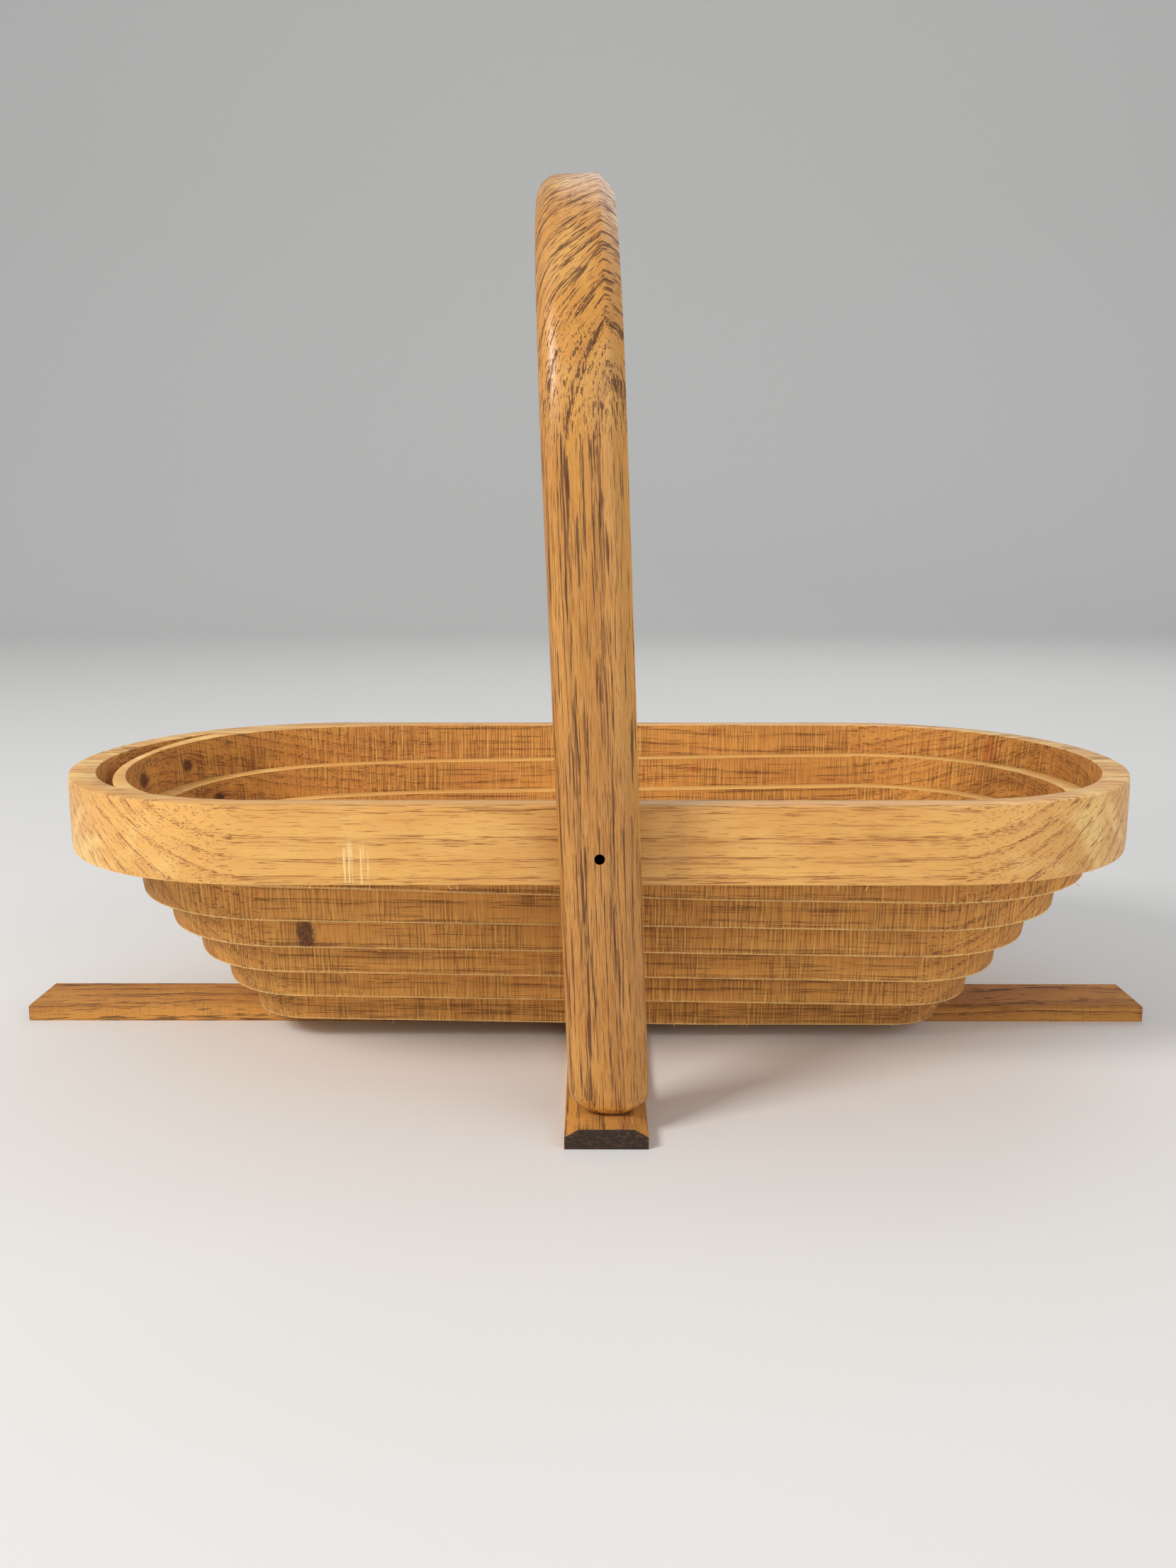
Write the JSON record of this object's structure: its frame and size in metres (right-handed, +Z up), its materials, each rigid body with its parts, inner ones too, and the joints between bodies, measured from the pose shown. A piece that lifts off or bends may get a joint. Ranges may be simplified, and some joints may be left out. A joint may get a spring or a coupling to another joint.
{
  "type": "collapsible basket",
  "caption": "Collapsible oval wooden basket: a spiral-cut board lets down from its rim, an arched handle holds it open and folds flat round it, on two crossed foot bars.",
  "frame": {"origin": "centre of the long foot bar, on the table plane", "axes": "+X along the basket's length, towards the end away from the folded handle; +Y to the back; +Z up"},
  "size_m": [0.334, 0.19, 0.2378],
  "materials": {
    "oak": "satin",
    "sawn_oak": "rough sawn",
    "dark_oak": "rough",
    "steel": "dull"
  },
  "bodies": {
    "base": {"base_plate": "oak", "long_foot_bar": "dark_oak", "short_foot_bar": "dark_oak", "foot_screws": "steel"},
    "rim": {"rim": "oak", "pivot_nails": "steel"},
    "handle": {"handle": "oak"},
    "link_01": {"strip_01": "sawn_oak"},
    "link_02": {"strip_02": "sawn_oak"},
    "link_03": {"strip_03": "sawn_oak"},
    "link_04": {"strip_04": "sawn_oak"},
    "link_05": {"strip_05": "sawn_oak"},
    "link_06": {"strip_06": "sawn_oak"},
    "link_07": {"strip_07": "sawn_oak"},
    "link_08": {"strip_08": "sawn_oak"},
    "link_09": {"strip_09": "sawn_oak"},
    "link_10": {"strip_10": "sawn_oak"},
    "link_11": {"strip_11": "sawn_oak"},
    "link_12": {"strip_12": "sawn_oak"},
    "link_13": {"strip_13": "sawn_oak"},
    "link_14": {"strip_14": "sawn_oak"},
    "link_15": {"strip_15": "sawn_oak"},
    "link_16": {"strip_16": "sawn_oak"},
    "link_17": {"strip_17": "sawn_oak"},
    "link_18": {"strip_18": "sawn_oak"},
    "link_19": {"strip_19": "sawn_oak"},
    "link_20": {"strip_20": "sawn_oak"},
    "link_21": {"strip_21": "sawn_oak"},
    "link_22": {"strip_22": "sawn_oak"},
    "link_23": {"strip_23": "sawn_oak"},
    "link_24": {"strip_24": "sawn_oak"},
    "link_25": {"strip_25": "sawn_oak"},
    "link_26": {"strip_26": "sawn_oak"},
    "link_27": {"strip_27": "sawn_oak"},
    "link_28": {"strip_28": "sawn_oak"},
    "link_29": {"strip_29": "sawn_oak"},
    "link_30": {"strip_30": "sawn_oak"},
    "link_31": {"strip_31": "sawn_oak"},
    "link_32": {"strip_32": "sawn_oak"},
    "link_33": {"strip_33": "sawn_oak"},
    "link_34": {"strip_34": "sawn_oak"},
    "link_35": {"strip_35": "sawn_oak"}
  },
  "joints": [
    {"name": "rim_drop", "type": "slide", "parent": "base", "child": "rim", "axis": [0, 0, -1], "range_m": [0, 0.0537]},
    {"name": "handle_swing", "type": "hinge", "parent": "rim", "child": "handle", "pos_m": [0.0038, 0, 0.069], "axis": [0, -1, 0], "range_deg": [0, 87.81]},
    {"name": "strip_01_drop", "type": "slide", "parent": "base", "child": "link_01", "axis": [0, 0, -1], "range_m": [0, 0.05258]},
    {"name": "strip_02_drop", "type": "slide", "parent": "base", "child": "link_02", "axis": [0, 0, -1], "range_m": [0, 0.05124]},
    {"name": "strip_03_drop", "type": "slide", "parent": "base", "child": "link_03", "axis": [0, 0, -1], "range_m": [0, 0.0496]},
    {"name": "strip_04_drop", "type": "slide", "parent": "base", "child": "link_04", "axis": [0, 0, -1], "range_m": [0, 0.04787]},
    {"name": "strip_05_drop", "type": "slide", "parent": "base", "child": "link_05", "axis": [0, 0, -1], "range_m": [0, 0.0463]},
    {"name": "strip_06_drop", "type": "slide", "parent": "base", "child": "link_06", "axis": [0, 0, -1], "range_m": [0, 0.04461]},
    {"name": "strip_07_drop", "type": "slide", "parent": "base", "child": "link_07", "axis": [0, 0, -1], "range_m": [0, 0.04292]},
    {"name": "strip_08_drop", "type": "slide", "parent": "base", "child": "link_08", "axis": [0, 0, -1], "range_m": [0, 0.04158]},
    {"name": "strip_09_drop", "type": "slide", "parent": "base", "child": "link_09", "axis": [0, 0, -1], "range_m": [0, 0.04024]},
    {"name": "strip_10_drop", "type": "slide", "parent": "base", "child": "link_10", "axis": [0, 0, -1], "range_m": [0, 0.03814]},
    {"name": "strip_11_drop", "type": "slide", "parent": "base", "child": "link_11", "axis": [0, 0, -1], "range_m": [0, 0.03687]},
    {"name": "strip_12_drop", "type": "slide", "parent": "base", "child": "link_12", "axis": [0, 0, -1], "range_m": [0, 0.03518]},
    {"name": "strip_13_drop", "type": "slide", "parent": "base", "child": "link_13", "axis": [0, 0, -1], "range_m": [0, 0.03344]},
    {"name": "strip_14_drop", "type": "slide", "parent": "base", "child": "link_14", "axis": [0, 0, -1], "range_m": [0, 0.03215]},
    {"name": "strip_15_drop", "type": "slide", "parent": "base", "child": "link_15", "axis": [0, 0, -1], "range_m": [0, 0.03081]},
    {"name": "strip_16_drop", "type": "slide", "parent": "base", "child": "link_16", "axis": [0, 0, -1], "range_m": [0, 0.02866]},
    {"name": "strip_17_drop", "type": "slide", "parent": "base", "child": "link_17", "axis": [0, 0, -1], "range_m": [0, 0.02744]},
    {"name": "strip_18_drop", "type": "slide", "parent": "base", "child": "link_18", "axis": [0, 0, -1], "range_m": [0, 0.02576]},
    {"name": "strip_19_drop", "type": "slide", "parent": "base", "child": "link_19", "axis": [0, 0, -1], "range_m": [0, 0.02396]},
    {"name": "strip_20_drop", "type": "slide", "parent": "base", "child": "link_20", "axis": [0, 0, -1], "range_m": [0, 0.02273]},
    {"name": "strip_21_drop", "type": "slide", "parent": "base", "child": "link_21", "axis": [0, 0, -1], "range_m": [0, 0.02139]},
    {"name": "strip_22_drop", "type": "slide", "parent": "base", "child": "link_22", "axis": [0, 0, -1], "range_m": [0, 0.01918]},
    {"name": "strip_23_drop", "type": "slide", "parent": "base", "child": "link_23", "axis": [0, 0, -1], "range_m": [0, 0.01801]},
    {"name": "strip_24_drop", "type": "slide", "parent": "base", "child": "link_24", "axis": [0, 0, -1], "range_m": [0, 0.01633]},
    {"name": "strip_25_drop", "type": "slide", "parent": "base", "child": "link_25", "axis": [0, 0, -1], "range_m": [0, 0.01448]},
    {"name": "strip_26_drop", "type": "slide", "parent": "base", "child": "link_26", "axis": [0, 0, -1], "range_m": [0, 0.0133]},
    {"name": "strip_27_drop", "type": "slide", "parent": "base", "child": "link_27", "axis": [0, 0, -1], "range_m": [0, 0.01196]},
    {"name": "strip_28_drop", "type": "slide", "parent": "base", "child": "link_28", "axis": [0, 0, -1], "range_m": [0, 0.0097]},
    {"name": "strip_29_drop", "type": "slide", "parent": "base", "child": "link_29", "axis": [0, 0, -1], "range_m": [0, 0.00773]},
    {"name": "strip_30_drop", "type": "slide", "parent": "base", "child": "link_30", "axis": [0, 0, -1], "range_m": [0, 0.0069]},
    {"name": "strip_31_drop", "type": "slide", "parent": "base", "child": "link_31", "axis": [0, 0, -1], "range_m": [0, 0.005]},
    {"name": "strip_32_drop", "type": "slide", "parent": "base", "child": "link_32", "axis": [0, 0, -1], "range_m": [0, 0.00387]},
    {"name": "strip_33_drop", "type": "slide", "parent": "base", "child": "link_33", "axis": [0, 0, -1], "range_m": [0, 0.00248]},
    {"name": "strip_34_drop", "type": "slide", "parent": "base", "child": "link_34", "axis": [0, 0, -1], "range_m": [0, 0.00127]},
    {"name": "strip_35_drop", "type": "slide", "parent": "base", "child": "link_35", "axis": [0, 0, -1], "range_m": [0, 0.0001631]}
  ],
  "couplings": [
    {"joint": "handle_swing", "follows": "rim_drop", "rad_per_m": 28.536},
    {"joint": "strip_01_drop", "follows": "rim_drop", "ratio": 0.97912},
    {"joint": "strip_02_drop", "follows": "rim_drop", "ratio": 0.95417},
    {"joint": "strip_03_drop", "follows": "rim_drop", "ratio": 0.92361},
    {"joint": "strip_04_drop", "follows": "rim_drop", "ratio": 0.89136},
    {"joint": "strip_05_drop", "follows": "rim_drop", "ratio": 0.86208},
    {"joint": "strip_06_drop", "follows": "rim_drop", "ratio": 0.83069},
    {"joint": "strip_07_drop", "follows": "rim_drop", "ratio": 0.7993},
    {"joint": "strip_08_drop", "follows": "rim_drop", "ratio": 0.77431},
    {"joint": "strip_09_drop", "follows": "rim_drop", "ratio": 0.74931},
    {"joint": "strip_10_drop", "follows": "rim_drop", "ratio": 0.71016},
    {"joint": "strip_11_drop", "follows": "rim_drop", "ratio": 0.68653},
    {"joint": "strip_12_drop", "follows": "rim_drop", "ratio": 0.65514},
    {"joint": "strip_13_drop", "follows": "rim_drop", "ratio": 0.62276},
    {"joint": "strip_14_drop", "follows": "rim_drop", "ratio": 0.59875},
    {"joint": "strip_15_drop", "follows": "rim_drop", "ratio": 0.57375},
    {"joint": "strip_16_drop", "follows": "rim_drop", "ratio": 0.53362},
    {"joint": "strip_17_drop", "follows": "rim_drop", "ratio": 0.51097},
    {"joint": "strip_18_drop", "follows": "rim_drop", "ratio": 0.47958},
    {"joint": "strip_19_drop", "follows": "rim_drop", "ratio": 0.44623},
    {"joint": "strip_20_drop", "follows": "rim_drop", "ratio": 0.42319},
    {"joint": "strip_21_drop", "follows": "rim_drop", "ratio": 0.3982},
    {"joint": "strip_22_drop", "follows": "rim_drop", "ratio": 0.35708},
    {"joint": "strip_23_drop", "follows": "rim_drop", "ratio": 0.33542},
    {"joint": "strip_24_drop", "follows": "rim_drop", "ratio": 0.30403},
    {"joint": "strip_25_drop", "follows": "rim_drop", "ratio": 0.26969},
    {"joint": "strip_26_drop", "follows": "rim_drop", "ratio": 0.24764},
    {"joint": "strip_27_drop", "follows": "rim_drop", "ratio": 0.22264},
    {"joint": "strip_28_drop", "follows": "rim_drop", "ratio": 0.18055},
    {"joint": "strip_29_drop", "follows": "rim_drop", "ratio": 0.14385},
    {"joint": "strip_30_drop", "follows": "rim_drop", "ratio": 0.12847},
    {"joint": "strip_31_drop", "follows": "rim_drop", "ratio": 0.093154},
    {"joint": "strip_32_drop", "follows": "rim_drop", "ratio": 0.072083},
    {"joint": "strip_33_drop", "follows": "rim_drop", "ratio": 0.04623},
    {"joint": "strip_34_drop", "follows": "rim_drop", "ratio": 0.023542},
    {"joint": "strip_35_drop", "follows": "rim_drop", "ratio": 0.003}
  ]
}
